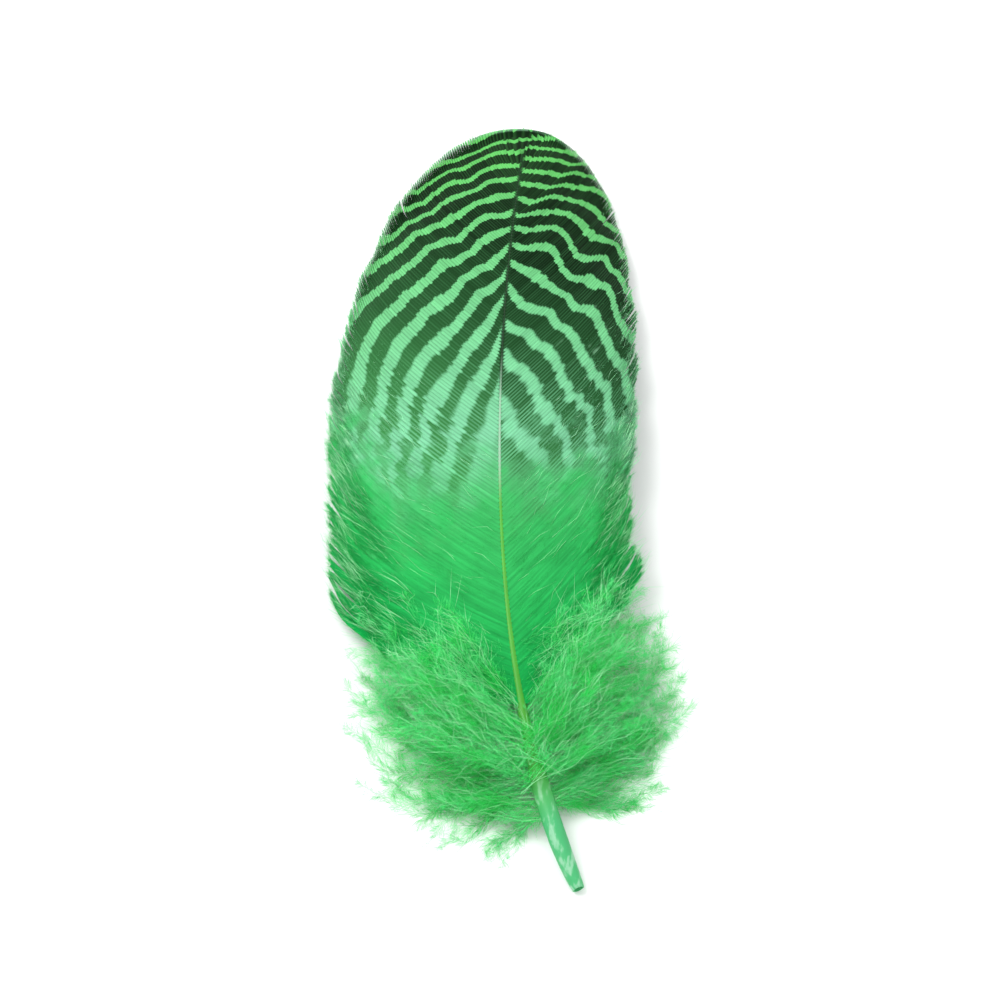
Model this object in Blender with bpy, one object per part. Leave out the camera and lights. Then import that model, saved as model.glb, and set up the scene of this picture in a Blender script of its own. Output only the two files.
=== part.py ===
"""A flank feather, lying convex side up on a flat surface: its bare quill end points to -Y,
its rounded tip curls down at +Y. Shaft, vanes and downy locks grew as one piece, so the
whole feather is one closed solid.

Every place on the vane is given by two lengths, measured on the feather laid flat:
along the shaft from the quill end, and across from the shaft, positive to the right.
surface() bends that flat feather into its resting shape.
"""
import math

import bmesh
import bpy
from mathutils import Vector

# Overall size, in metres and degrees
LENGTH = 0.096
RACHIS_END = 0.088
QUILL_END = Vector((0.00760, -0.04638, 0.0006))

# Bend of the shaft: its heading in plan, and its slope above the horizontal
HEADING_AT_QUILL = math.radians(-24.0)
HEADING_AT_TIP = math.radians(8.0)
HEADING_REACH = 0.035
SLOPE_AT_QUILL = math.radians(12.5)
SLOPE_FALL = math.radians(39.2)
TRACE_STEP = 0.0005

# Camber of the vane: the radius of its arched cross-section
CAMBER_LOW = 0.027
CAMBER_TIP = 0.0155
CAMBER_START = 0.035

# The vane sheet and its outline
VANE_THICKNESS = 0.0004
LEFT_HALF_WIDTH = 0.0196
RIGHT_HALF_WIDTH = 0.0150
VANE_WIDEST = 0.056
VANE_ROUNDNESS = 2.4
VANE_START = 0.020
BARB_ADVANCE = 0.024
BARB_ADVANCE_PLACE = 0.048
BARB_ADVANCE_REACH = 0.049
BARB_BEND_ALONG = 0.43
BARB_BEND_ACROSS = 0.68
TIP_BARB_SPREAD = 0.0004
BARB_ROWS = 50
BARB_STEPS = 6
NOTCH = 0.0012
LOOSE_NOTCH = 0.0035
LOOSE_PART = 0.3

# The shaft
QUILL_RADIUS = 0.00095
RACHIS_RADIUS = 0.00038
HAIR_RADIUS = 0.00008
SHAFT_WIDEST = 0.0115
QUILL_FALL = 0.007
RACHIS_TAPER = 1.6
BLUNT_SHARE = 0.62
BLUNT_REACH = 0.005
BLUNT_ROUNDNESS = 0.6
QUILL_SIDES = 10
SHAFT_STEP = 0.004

# The downy locks at the foot of the vane
LOCK_START = 0.0095
LOCK_END = 0.0255
LOCK_LENGTH = 0.0200
LOCK_WIDTH = 0.0008
LOCK_THICKNESS = 0.0010
LOCK_DEPTH = 0.0003
LOCK_TIP_SHARE = 0.12
LOCK_STEPS = 5
LOCK_SIDES = 5
PATH_STEPS = 12
LOCKS_PER_SIDE = 16
UPPER_LOCKS_PER_SIDE = 6
LOWER_LOCKS_PER_SIDE = 5
FLOOR_EASE = 0.0003

BARB_GREEN = (0.05, 0.42, 0.13, 1.0)


def spread(number, salt):
    """An even, repeatable scatter between -1 and 1."""
    return 2.0 * math.modf(number * 0.6180339887 + salt * 0.7548776662)[0] - 1.0


def heading(along):
    near = math.exp(-max(along, 0.0) / HEADING_REACH)
    return HEADING_AT_TIP + (HEADING_AT_QUILL - HEADING_AT_TIP) * near


def slope(along):
    part = max(along, 0.0) / LENGTH
    return SLOPE_AT_QUILL - SLOPE_FALL * part * part


def direction(along):
    turn = heading(along)
    rise = slope(along)
    return Vector((math.sin(turn) * math.cos(rise), math.cos(turn) * math.cos(rise), math.sin(rise)))


def trace_centreline():
    """Points of the shaft's curve at every TRACE_STEP, a little past the tip."""
    points = [QUILL_END.copy()]
    for number in range(int(LENGTH * 1.1 / TRACE_STEP)):
        points.append(points[-1] + direction((number + 0.5) * TRACE_STEP) * TRACE_STEP)
    return points


CENTRELINE = trace_centreline()


def spine(along):
    """The point, sideways direction and upward direction of the shaft's curve."""
    ahead = direction(along)
    side = Vector((math.cos(heading(along)), -math.sin(heading(along)), 0.0))
    up = side.cross(ahead)
    if along < 0.0:
        return CENTRELINE[0] + ahead * along, side, up
    place = min(along / TRACE_STEP, len(CENTRELINE) - 1.001)
    number = int(place)
    point = CENTRELINE[number].lerp(CENTRELINE[number + 1], place - number)
    return point, side, up


def camber(along):
    part = min(max((along - CAMBER_START) / (LENGTH - CAMBER_START), 0.0), 1.0)
    return CAMBER_LOW + (CAMBER_TIP - CAMBER_LOW) * part


def surface(along, across, lift=0.0):
    """Bend a place on the flat feather into the resting feather; what reaches down lies flat."""
    point, side, up = spine(along)
    radius = camber(along)
    turn = across / radius
    upward = up * math.cos(turn) + side * math.sin(turn)
    place = point - up * radius + upward * (radius + lift)
    lowest = VANE_THICKNESS / 2.0
    above = place.z - lowest
    place.z = lowest + (above + math.hypot(above, FLOOR_EASE)) / 2.0
    return place, upward


def half_width(along, side):
    widest = LEFT_HALF_WIDTH if side < 0.0 else RIGHT_HALF_WIDTH
    part = max(along - VANE_WIDEST, 0.0) / (LENGTH - VANE_WIDEST)
    return widest * math.sqrt(max(1.0 - part ** VANE_ROUNDNESS, 0.0))


def barb_advance(root):
    """How far the tip of a barb lies ahead of its root."""
    part = (root - BARB_ADVANCE_PLACE) / BARB_ADVANCE_REACH
    return BARB_ADVANCE * (1.0 - part * part)


def barb_place(root, side, part, cut=0.0):
    """The place at a part of the length of the barb that leaves the shaft at root."""
    ahead = barb_advance(root)
    wide = max(half_width(root + ahead, side), TIP_BARB_SPREAD)
    reach = 1.0 - cut / math.hypot(ahead, wide)
    ahead *= reach
    wide *= reach
    middle = 2.0 * part * (1.0 - part)
    along = root + ahead * (middle * BARB_BEND_ALONG + part * part)
    across = side * wide * (middle * BARB_BEND_ACROSS + part * part)
    return along, across


def shaft_radius(along):
    """Thickest above the bare quill end; it narrows fast in the down, then slowly to a hair."""
    past = max(along - SHAFT_WIDEST, 0.0)
    part = past / (RACHIS_END - SHAFT_WIDEST)
    slender = HAIR_RADIUS + (RACHIS_RADIUS - HAIR_RADIUS) * (1.0 - part) ** RACHIS_TAPER
    body = slender + (QUILL_RADIUS - RACHIS_RADIUS) * math.exp(-past / QUILL_FALL)
    blunt = BLUNT_SHARE + (1.0 - BLUNT_SHARE) * min(along / BLUNT_REACH, 1.0) ** BLUNT_ROUNDNESS
    return body * blunt


def link_object(name, mesh_builder, material):
    mesh = bpy.data.meshes.new(name)
    mesh_builder.to_mesh(mesh)
    mesh_builder.free()
    mesh.materials.append(material)
    made = bpy.data.objects.new(name, mesh)
    bpy.context.scene.collection.objects.link(made)
    return made


def loft(shape, rings):
    """Join rings of points with faces and cap both ends."""
    loops = [[shape.verts.new(point) for point in ring] for ring in rings]
    for low, high in zip(loops, loops[1:]):
        for number in range(len(low)):
            following = (number + 1) % len(low)
            shape.faces.new((low[number], low[following], high[following], high[number]))
    shape.faces.new(reversed(loops[0]))
    shape.faces.new(loops[-1])


def make_shaft(material):
    """A tapered tube with a blunt cut end, its underside on the surface there."""
    shape = bmesh.new()
    rings = []
    count = math.ceil(RACHIS_END / SHAFT_STEP)
    for number in range(count + 1):
        along = RACHIS_END * number / count
        point, side, up = spine(along)
        radius = shaft_radius(along)
        ring = []
        for corner in range(QUILL_SIDES):
            turn = 2.0 * math.pi * corner / QUILL_SIDES
            ring.append(point + side * (radius * math.cos(turn)) + up * (radius * math.sin(turn)))
        rings.append(ring)
    loft(shape, rings)
    bmesh.ops.recalc_face_normals(shape, faces=shape.faces)
    return link_object("shaft", shape, material)


def barb_row(shape, number):
    """Corners down one left barb from its tip to the shaft, then up a right one; odd rows are cut short."""
    part = number / BARB_ROWS
    root = VANE_START + (RACHIS_END - VANE_START) * part
    cut = 0.0
    if number % 2:
        cut = NOTCH * (1.0 - part * part) + LOOSE_NOTCH * max(1.0 - part / LOOSE_PART, 0.0)
    row = []
    for step in range(-BARB_STEPS, BARB_STEPS + 1):
        along, across = barb_place(root, math.copysign(1.0, step), abs(step) / BARB_STEPS, cut)
        row.append(shape.verts.new(surface(along, across)[0]))
    return row


def make_vane(material):
    """Both vanes as one sheet of barb rows, closed between the two topmost barbs."""
    shape = bmesh.new()
    rows = [barb_row(shape, number) for number in range(BARB_ROWS + 1)]
    for low, high in zip(rows, rows[1:]):
        for number in range(len(low) - 1):
            shape.faces.new((low[number], low[number + 1], high[number + 1], high[number]))
    top = rows[-1]
    for step in range(BARB_STEPS):
        left, right = BARB_STEPS - step, BARB_STEPS + step
        inner = [top[left], top[right]] if step else [top[left]]
        shape.faces.new(inner + [top[right + 1], top[left - 1]])
    bmesh.ops.recalc_face_normals(shape, faces=shape.faces)
    made = link_object("feather", shape, material)
    solid = made.modifiers.new("Thickness", "SOLIDIFY")
    solid.thickness = VANE_THICKNESS
    solid.offset = 0.0
    return made


def lock_place(root, side, length, start, end, lift, part):
    """The place at a part of a lock that leaves the shaft at angle start and turns to end."""
    along = root
    across = 0.0
    for number in range(PATH_STEPS):
        turn = start + (end - start) * part * (number + 0.5) / PATH_STEPS
        along += math.cos(turn) * length * part / PATH_STEPS
        across += math.sin(turn) * length * part / PATH_STEPS
    height = lift * math.sin(part * math.pi / 2.0) - LOCK_DEPTH
    return surface(along, side * across, height)


def make_lock(number, root, side, length, start, end, lift, material):
    shape = bmesh.new()
    rings = []
    for step in range(LOCK_STEPS + 1):
        part = step / LOCK_STEPS
        point, upward = lock_place(root, side, length, start, end, lift, part)
        ahead = lock_place(root, side, length, start, end, lift, part + 0.02)[0]
        back = lock_place(root, side, length, start, end, lift, part - 0.02)[0]
        along = (ahead - back).normalized()
        broad = upward.cross(along).normalized()
        thick = along.cross(broad)
        swell = 0.35 + 0.65 * math.sin(math.pi * min(part * 0.9 + 0.12, 1.0))
        taper = LOCK_TIP_SHARE if step == LOCK_STEPS else swell
        ring = []
        for corner in range(LOCK_SIDES):
            turn = 2.0 * math.pi * corner / LOCK_SIDES
            offset = broad * (LOCK_WIDTH * taper * math.cos(turn))
            offset += thick * (LOCK_THICKNESS * taper * math.sin(turn) / 2.0)
            place = point + offset
            place.z = max(place.z, 0.0)
            ring.append(place)
        rings.append(ring)
    loft(shape, rings)
    bmesh.ops.recalc_face_normals(shape, faces=shape.faces)
    return link_object(f"lock_{number:02d}", shape, material)


def lock_plan():
    """Root, side, length, start and end angles and lift of every lock."""
    plan = []
    # Locks per side, first and last root, share of the length, start and end angles, lift
    layers = (
        (LOCKS_PER_SIDE, LOCK_START, LOCK_END, 1.0, 86.0, 56.0, -0.0008),
        (UPPER_LOCKS_PER_SIDE, LOCK_START + 0.002, LOCK_END - 0.006, 0.8, 68.0, 40.0, 0.0050),
        (LOWER_LOCKS_PER_SIDE, LOCK_START, LOCK_END - 0.008, 0.72, 98.0, 116.0, -0.0030),
    )
    for layer, (count, first, last, size, start, end, lift) in enumerate(layers):
        for side in (-1.0, 1.0):
            for number in range(count):
                part = number / (count - 1)
                salt = layer * 2.0 + side
                root = first + (last - first) * part + 0.0005 * spread(number, salt)
                length = LOCK_LENGTH * size * (0.84 + 0.16 * math.sin(math.pi * part))
                length *= 1.0 + 0.1 * spread(number, salt + 0.3)
                opening = math.radians(start - 14.0 * part + 7.0 * spread(number, salt + 0.6))
                closing = math.radians(end - 20.0 * part + 12.0 * spread(number, salt + 0.9))
                plan.append((root, side, length, opening, closing, lift))
    return plan


def make_material():
    green = bpy.data.materials.new("dyed green barbs")
    green.use_nodes = True
    shader = green.node_tree.nodes["Principled BSDF"]
    shader.inputs["Base Color"].default_value = BARB_GREEN
    shader.inputs["Roughness"].default_value = 0.62
    shader.inputs["Metallic"].default_value = 0.0
    return green


def hide_as_cutter(made):
    made.hide_render = True
    made.display_type = "WIRE"


def main():
    for old in list(bpy.data.objects):
        bpy.data.objects.remove(old)
    material = make_material()
    feather = make_vane(material)
    grown = bpy.data.collections.new("grown on")
    bpy.context.scene.collection.children.link(grown)
    pieces = [make_shaft(material)]
    for number, lock in enumerate(lock_plan()):
        pieces.append(make_lock(number, *lock, material))
    for piece in pieces:
        grown.objects.link(piece)
        bpy.context.scene.collection.objects.unlink(piece)
        hide_as_cutter(piece)
    union = feather.modifiers.new("Grown together", "BOOLEAN")
    union.operation = "UNION"
    union.operand_type = "COLLECTION"
    union.collection = grown
    union.solver = "MANIFOLD"


main()
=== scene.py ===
"""The looks of a dyed, barred flank feather that lies convex side up on a flat surface: every barb
of its two vanes, the fluff where they come loose, its downy foot and its shaft.

A place on the feather is given by two lengths, measured on the feather laid flat: along the shaft
from the quill end, and across from the shaft, positive to the right. surface() bends the flat
feather into its resting shape. Lengths are in metres. An array of barbs has a row for each barb
and a column for each step along it.
"""
import math
from dataclasses import dataclass

import bmesh
import bpy
import numpy as np
from bpy.props import FloatProperty, FloatVectorProperty, IntProperty, PointerProperty
from mathutils import Matrix, Vector


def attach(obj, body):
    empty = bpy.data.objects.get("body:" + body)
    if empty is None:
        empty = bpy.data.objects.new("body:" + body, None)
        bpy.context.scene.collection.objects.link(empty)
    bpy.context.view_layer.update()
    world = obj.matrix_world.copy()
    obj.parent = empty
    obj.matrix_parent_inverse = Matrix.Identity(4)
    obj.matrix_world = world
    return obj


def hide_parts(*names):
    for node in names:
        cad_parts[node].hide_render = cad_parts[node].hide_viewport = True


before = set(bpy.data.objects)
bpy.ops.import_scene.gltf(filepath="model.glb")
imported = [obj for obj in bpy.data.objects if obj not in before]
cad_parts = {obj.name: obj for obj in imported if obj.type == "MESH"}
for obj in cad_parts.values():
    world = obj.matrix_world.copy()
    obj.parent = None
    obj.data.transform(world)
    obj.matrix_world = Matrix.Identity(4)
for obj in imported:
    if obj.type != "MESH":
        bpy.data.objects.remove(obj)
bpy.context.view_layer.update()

bl_info = {
    "name": "Barred flank feather",
    "version": (1, 0, 0),
    "blender": (4, 5, 0),
    "location": "3D View > Sidebar > Feather",
    "description": "Dresses the solid of a dyed, barred flank feather with barbs, down and a shaft",
    "category": "Add Mesh",
}

# The resting shape, as in the solid: overall size and the bend of the shaft
LENGTH = 0.096
RACHIS_END = 0.088
QUILL_END = np.array((0.00760, -0.04638, 0.0006))
HEADING_AT_QUILL = math.radians(-24.0)
HEADING_AT_TIP = math.radians(8.0)
HEADING_REACH = 0.035
SLOPE_AT_QUILL = math.radians(12.5)
SLOPE_FALL = math.radians(39.2)
TRACE_STEP = 0.0005
CAMBER_LOW = 0.027
CAMBER_TIP = 0.0155
CAMBER_START = 0.035
VANE_THICKNESS = 0.0004
FLOOR_EASE = 0.0003

# Outline of the vanes and the course of their barbs
LEFT_HALF_WIDTH = 0.0196
RIGHT_HALF_WIDTH = 0.0150
VANE_WIDEST = 0.056
VANE_ROUNDNESS = 2.4
VANE_START = 0.020
BARB_ADVANCE = 0.024
BARB_ADVANCE_PLACE = 0.048
BARB_ADVANCE_REACH = 0.049
BARB_BEND_ALONG = 0.43
BARB_BEND_ACROSS = 0.68
TIP_BARB_SPREAD = 0.0004
NOTCH = 0.0012
NOTCH_MIDDLE = 0.45
LOOSE_NOTCH = 0.0035
LOOSE_PART = 0.3
VANE_STEPS = 36

# The shaft
QUILL_RADIUS = 0.00095
RACHIS_RADIUS = 0.00038
HAIR_RADIUS = 0.00008
SHAFT_WIDEST = 0.0115
QUILL_FALL = 0.007
RACHIS_TAPER = 1.6
BLUNT_SHARE = 0.62
BLUNT_REACH = 0.005
BLUNT_ROUNDNESS = 0.6
SHAFT_SIDES = 18
SHAFT_STATIONS = 90
STATION_SPREAD = 1.15
QUILL_MOUTH = ((0.00012, -0.00002), (0.00008, -0.0005))
SHARP_ANGLE = math.radians(50.0)
BARB_SEAT = 0.60
SEAT_LIFT = 0.70
SEAT_PART = 0.22

# How the barbs of a vane differ: barbs between turns, the share of neighbours and the share of its own
CUT_SCATTER = (9.0, 0.25, 0.14)
OPENING_SCATTER = (6.0, 0.5, 0.5)
PHASE_SCATTER = (6.0, 2.4, 0.9)
TONE_SCATTER = (3.0, 0.25, 0.25)

# Courses: stops of a root's place along the shaft and the value there
LOOSE_FROM = ((0.020, 0.30), (0.044, 0.84), (0.070, 0.93))
LOOSE_SPAN = ((0.020, 0.36), (0.050, 0.12))
LOOSE_WIDENS = ((0.035, 0.20), (0.055, -0.06))
END_NARROWS = ((0.081, 0.5), (0.087, 0.0))
TIP_WIDENS = ((0.081, 1.0), (0.087, 1.6))
HELD_FLUFF = ((0.040, 0.05), (0.055, 0.0))
FLUFF_HIGH = ((0.030, 1.0), (0.050, 0.38))

# The same, with the place as a share of the barb
FLUFF_SHORTENS = ((0.55, 0.90), (1.0, 0.50))
DOWN_DENSITY = ((0.0, 0.35), (0.2, 1.0))

# The vane's unevenness: waves as turns on a barb and size, bowed barbs, splits and ripples
BARB_WAVES = ((1.3, 0.00016), (2.9, 0.00009))
WAVES_CALM = 0.85
BARB_BOW = 0.00004
VANE_SPLITS = (0.36, 0.63)
SPLIT_REACH = 6.0
SPLIT_START = 0.80
SPLIT_GAP = 0.00009
VANE_RIPPLE = 0.00012
RIPPLE_ALONG = 900.0
RIPPLE_ACROSS = 500.0
OPENING_VARIES = 0.12
OPENING_STEADIES = 0.10

# How a barb's ridge thins outwards, and how sharply the topmost webs narrow at their ends
RIDGE_TAPER = 0.55
NARROWING_POWER = 8

# The fluff's barbules against those of the down, and the share of them that are hairs
FLUFF_FINENESS = 0.80
FLUFF_HAIRS = 0.05

# The locks of the downy foot, and how their barbs stray
LOCK_START = 0.0095
LOCK_END = 0.0255
LOCK_LENGTH = 0.0200
LONGEST_BARB = 0.0198
DOWN_STEPS = 20
BARB_LENGTHS = (0.62, 1.12)
ROOT_SCATTER = 0.0008
START_SCATTER = math.radians(9.0)
END_SCATTER = math.radians(20.0)
LIFT_SCATTER = 0.0010
WISP_STRAY = 0.6
WISP_SHORTER = 0.08
DOWN_WAVES = ((1.1, 0.42), (2.6, 0.30), (5.2, 0.16))
DOWN_SWELL = 0.0016
CROSSING_SHARE = 0.5
CROSSING_END = 0.0155
CROSSING_START = 0.0022
CROSSING_RISE = 0.0014
STEM_RADIUS = 0.000035
WISP_RADIUS = 0.000024
STEM_END_RADIUS = 0.000010

# One barb of the vane seen end on: across in half widths of its web, up in thicknesses of its ridge
SECTION = np.array(((1.0, 0.0), (0.0, 1.0), (-1.0, 0.0), (0.0, -1.0)))
SECTION_MAP = np.array((0.0, 0.4, 0.8, 0.9, 1.0))
BARBULE_LEAN = 0.9

# Barbules and the hairs among them. A barbule's corners are its root, three round its bend and its tip
THIRDS = (0.0, 2.0 * math.pi / 3.0, 4.0 * math.pi / 3.0)
SPINDLE = np.array(((0, 2, 1), (4, 1, 2), (0, 3, 2), (4, 2, 3), (0, 1, 3), (4, 3, 1)))
BARBULE_BEND = 0.42
BEND_MARK = 0.45
LEAN_SCATTER = 0.16
CURL_SCATTER = 0.22
TIP_WILDNESS = 1.6
TWIST_WILDNESS = 0.3
BARBULE_FLOOR = 0.00002
BARBULE_FLOOR_EASE = 0.0001
HAIR_MARK = 2.0
HAIR_EDGE = (1.4, 1.6)
HAIR_LENGTH = 3.0
HAIR_STOUTNESS = 1.4
HAIR_CALM = 0.6
TUFTS = 7

# Strips of the bake's map: one for each barb
STRIP_MARGIN = 0.04
STEM_SHARE = 0.08
HAIR_SHARE = 0.76
BARBULE_SPREAD = 0.004

# The bars, in millimetres on the flat feather. Leans, bends, phases and the peak are polynomials of the
# length below the tip in BAR_UNITs, lowest power first; a kink is a wave's size, crest and pace
VANE_TIP = 96.0
BAR_UNIT = 30.0
LEFT_LEAN = (0.645, -0.541, 0.918)
LEFT_BEND = -0.0159
LEFT_PEAK = (-4.40, 8.66)
LEFT_PEAK_REACH = 1.1
LEFT_KINK = (0.35, 5.5, 1.21)
LEFT_PHASE = (-0.52, 12.18, -2.784, -0.196)
RIGHT_LEAN = (-0.649, 0.846, 0.43)
RIGHT_BEND = (0.0262, -0.0268)
RIGHT_KINK = (0.5, 1.3, 1.1)
RIGHT_PHASE = (-2.304, 16.51, -4.529)
BARS_START = (34.5, 49.0)

# How rough the barbs and their barbules are
BARB_ROUGHNESS = 0.64

# The lights' names, places and sizes, and the camera's lens in millimetres
LIGHTS = (("key", (-0.28, 0.10, 0.46), 0.35), ("fill", (0.35, -0.30, 0.35), 0.5))
LENS = 300.0

MILLIMETRES = 1000.0
SIDES = (("left", -1.0), ("right", 1.0))
GOLDEN_SHARE = 0.6180339887
PLASTIC_SHARE = 0.7548776662


def dye(red, green, blue):
    """A colour given in the 0 to 255 of a screen, as the linear values that Blender takes."""
    parts = (red / 255.0, green / 255.0, blue / 255.0)
    return tuple(p / 12.92 if p <= 0.04045 else ((p + 0.055) / 1.055) ** 2.4 for p in parts)


def colour_setting(name, description, *screen):
    """A colour that a user may change, given as on a screen."""
    return FloatVectorProperty(
        name=name, description=description, default=dye(*screen), size=3, subtype="COLOR", min=0.0, max=1.0)


def number_setting(name, description, default, **details):
    return FloatProperty(name=name, description=description, default=default, **details)


def length_setting(name, description, default, **details):
    return number_setting(name, description, default, unit="LENGTH", subtype="DISTANCE", **details)


class FeatherVane(bpy.types.PropertyGroup):
    """Sizes of the vanes' barbs."""

    low_gap: length_setting(
        "Gap at the foot", "Between the roots of two barbs at the foot of the vane", 0.00052, min=0.0003)
    top_gap: length_setting(
        "Gap at the tip", "Between the roots of two barbs at the end of the shaft", 0.00042, min=0.0003)
    overlap: number_setting("Overlap", "Half width of a barb's web, in gaps between barbs", 0.62)
    ridge: length_setting("Ridge", "Thickness of a barb's ridge at its root", 0.00004)
    shingle: length_setting(
        "Shingle", "How far the outer edge of a web lies over its neighbour", 0.000012, precision=6)
    fluff: number_setting("Fluff", "Free barbules to a millimetre of loose barb", 60.0)
    seed: IntProperty(name="Seed", description="Start of the random draws", default=11)


class FeatherDown(bpy.types.PropertyGroup):
    """Sizes of the downy foot."""

    barbs: IntProperty(name="Barbs", description="Barbs in a lock that bear barbules", default=5, min=1)
    barbules: number_setting("Barbules", "Barbules to a millimetre of downy barb", 19.0)
    hairs: number_setting("Hairs", "Share of the barbules that are long and pale", 0.035)
    wisps: IntProperty(name="Wisps", description="Long bare barbs in a lock", default=5, min=0)
    length: length_setting("Barbule length", "Length of the longest barbules but for hairs", 0.0019)
    radius: length_setting("Barbule radius", "Radius of a barbule at its thickest", 0.000014, precision=6)
    seed: IntProperty(name="Seed", description="Start of the random draws", default=23)


class FeatherColours(bpy.types.PropertyGroup):
    """Dyed colours of the feather's parts."""

    dark_tip: colour_setting("Dark bars, tip", "Dark bars near the tip of the vane", 4, 27, 6)
    dark_low: colour_setting("Dark bars, low", "Lowest dark bars", 50, 116, 60)
    light_tip: colour_setting("Light bars, tip", "Light bars near the tip of the vane", 98, 194, 98)
    light_low: colour_setting("Light bars, low", "Lowest light bars", 126, 203, 158)
    plain_high: colour_setting("Plain vane, high", "The vane just below its bars", 61, 180, 96)
    plain_low: colour_setting("Plain vane, low", "The foot of the vane", 14, 166, 76)
    faded: colour_setting("Faded", "Single faded barbs and the rim of the vane", 156, 216, 172)
    down_deep: colour_setting("Down, deep", "The darker patches of the down", 72, 244, 116)
    down_pale: colour_setting("Down, pale", "The lighter patches of the down", 112, 255, 156)
    hair: colour_setting("Hairs", "The long hairs of the down", 200, 255, 212)
    rachis: colour_setting("Rachis", "The shaft between the vanes", 80, 168, 56)
    # Partly the shaft's own pale horn and partly a painted highlight on it
    rachis_pale_and_highlight: colour_setting("Rachis, pale", "The pale stretch where the bars begin", 150, 190, 160)
    rachis_dark: colour_setting("Rachis, dark", "The end of the shaft among the bars", 24, 54, 28)
    quill: colour_setting("Quill", "The bare quill end", 73, 176, 112)
    quill_streak: colour_setting("Quill, streaks", "The pale streaks of the quill end", 168, 208, 182)


class FeatherStage(bpy.types.PropertyGroup):
    """The floor, the lights and the camera."""

    reach: length_setting("Floor", "Half the side of the floor", 1.5)
    paper: colour_setting("Paper", "The floor", 244, 246, 245)
    key: number_setting("Key light", "Power of the key light", 2.0, unit="POWER")
    fill: number_setting("Fill light", "Power of the fill light", 0.47, unit="POWER")
    sky: number_setting("Sky", "Strength of the even light from all round", 1.06)
    elevation: number_setting(
        "Elevation", "Height of the camera above the horizon", math.radians(55.0), unit="ROTATION",
        subtype="ANGLE")
    width: length_setting("View", "Width of what the camera sees at the feather", 0.100)


def unit(vectors):
    return vectors / np.maximum(np.linalg.norm(vectors, axis=-1, keepdims=True), 1e-12)


def together(*parts):
    """One array whose last axis runs through the parts."""
    return np.stack(np.broadcast_arrays(*parts), axis=-1)


def ease(low, high, value):
    """0 below low and 1 above high, with a smooth rise between."""
    part = np.clip((value - low) / (high - low), 0.0, 1.0)
    return part * part * (3.0 - 2.0 * part)


def course(place, stops):
    """A value that eases from stop to stop, each stop a place and the value there."""
    value = stops[0][1]
    for (low, before), (high, after) in zip(stops, stops[1:]):
        value = value + (after - before) * ease(low, high, place)
    return value


def drift(random, place, step):
    """Smooth noise between -1 and 1 that turns about every step."""
    place = place / step
    knots = random.uniform(-1.0, 1.0, int(np.max(place)) + 2)
    number = np.floor(place).astype(int)
    rest = ease(0.0, 1.0, place - number)
    return knots[number] * (1.0 - rest) + knots[number + 1] * rest


def scatter(random, count, step, shared, own):
    """Noise for each of a vane's barbs: a part like its neighbours', which drifts, and a part of its own."""
    return shared * drift(random, np.arange(count), step) + own * random.uniform(-1.0, 1.0, count)


def heading(along):
    near = np.exp(-np.maximum(along, 0.0) / HEADING_REACH)
    return HEADING_AT_TIP + (HEADING_AT_QUILL - HEADING_AT_TIP) * near


def direction(along):
    turn = heading(along)
    rise = SLOPE_AT_QUILL - SLOPE_FALL * (np.maximum(along, 0.0) / LENGTH) ** 2
    return together(np.sin(turn) * np.cos(rise), np.cos(turn) * np.cos(rise), np.sin(rise))


def trace_centreline():
    """Points of the shaft's curve at every TRACE_STEP, a little past the tip."""
    count = int(LENGTH * 1.1 / TRACE_STEP)
    steps = direction((np.arange(count) + 0.5) * TRACE_STEP) * TRACE_STEP
    return np.vstack((QUILL_END, QUILL_END + np.cumsum(steps, axis=0)))


CENTRELINE = trace_centreline()


def spine(along):
    """The point, sideways direction and upward direction of the shaft's curve."""
    ahead = direction(along)
    turn = heading(along)
    side = together(np.cos(turn), -np.sin(turn), 0.0)
    place = np.clip(along / TRACE_STEP, 0.0, len(CENTRELINE) - 1.001)
    number = place.astype(int)
    rest = (place - number)[..., None]
    point = CENTRELINE[number] * (1.0 - rest) + CENTRELINE[number + 1] * rest
    point = point + ahead * np.minimum(along, 0.0)[..., None]
    return point, side, np.cross(side, ahead)


def settle(height, lowest, softness):
    """Heights with a soft stop at lowest."""
    above = height - lowest
    return lowest + (above + np.hypot(above, softness)) / 2.0


def surface(along, across, lift):
    """Bend places on the flat feather into the resting feather; what reaches down lies flat."""
    point, side, up = spine(along)
    part = np.clip((along - CAMBER_START) / (LENGTH - CAMBER_START), 0.0, 1.0)
    radius = CAMBER_LOW + (CAMBER_TIP - CAMBER_LOW) * part
    turn = (across / radius)[..., None]
    upward = up * np.cos(turn) + side * np.sin(turn)
    place = point - up * radius[..., None] + upward * (radius + lift)[..., None]
    place[..., 2] = settle(place[..., 2], VANE_THICKNESS / 2.0, FLOOR_EASE)
    return place, upward


def half_width(along, side):
    widest = LEFT_HALF_WIDTH if side < 0.0 else RIGHT_HALF_WIDTH
    part = np.clip((along - VANE_WIDEST) / (LENGTH - VANE_WIDEST), 0.0, 1.0)
    return widest * np.sqrt(1.0 - part ** VANE_ROUNDNESS)


def barb_place(root, side, part, cut):
    """Places on the flat feather along the barbs that leave the shaft at root, cut short at the tip."""
    ahead = BARB_ADVANCE * (1.0 - ((root - BARB_ADVANCE_PLACE) / BARB_ADVANCE_REACH) ** 2)
    wide = np.maximum(half_width(root + ahead, side), TIP_BARB_SPREAD)
    reach = 1.0 - cut / np.hypot(ahead, wide)
    middle = 2.0 * part * (1.0 - part)
    along = root + ahead * reach * (middle * BARB_BEND_ALONG + part * part)
    across = side * wide * reach * (middle * BARB_BEND_ACROSS + part * part)
    return along, across


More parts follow.
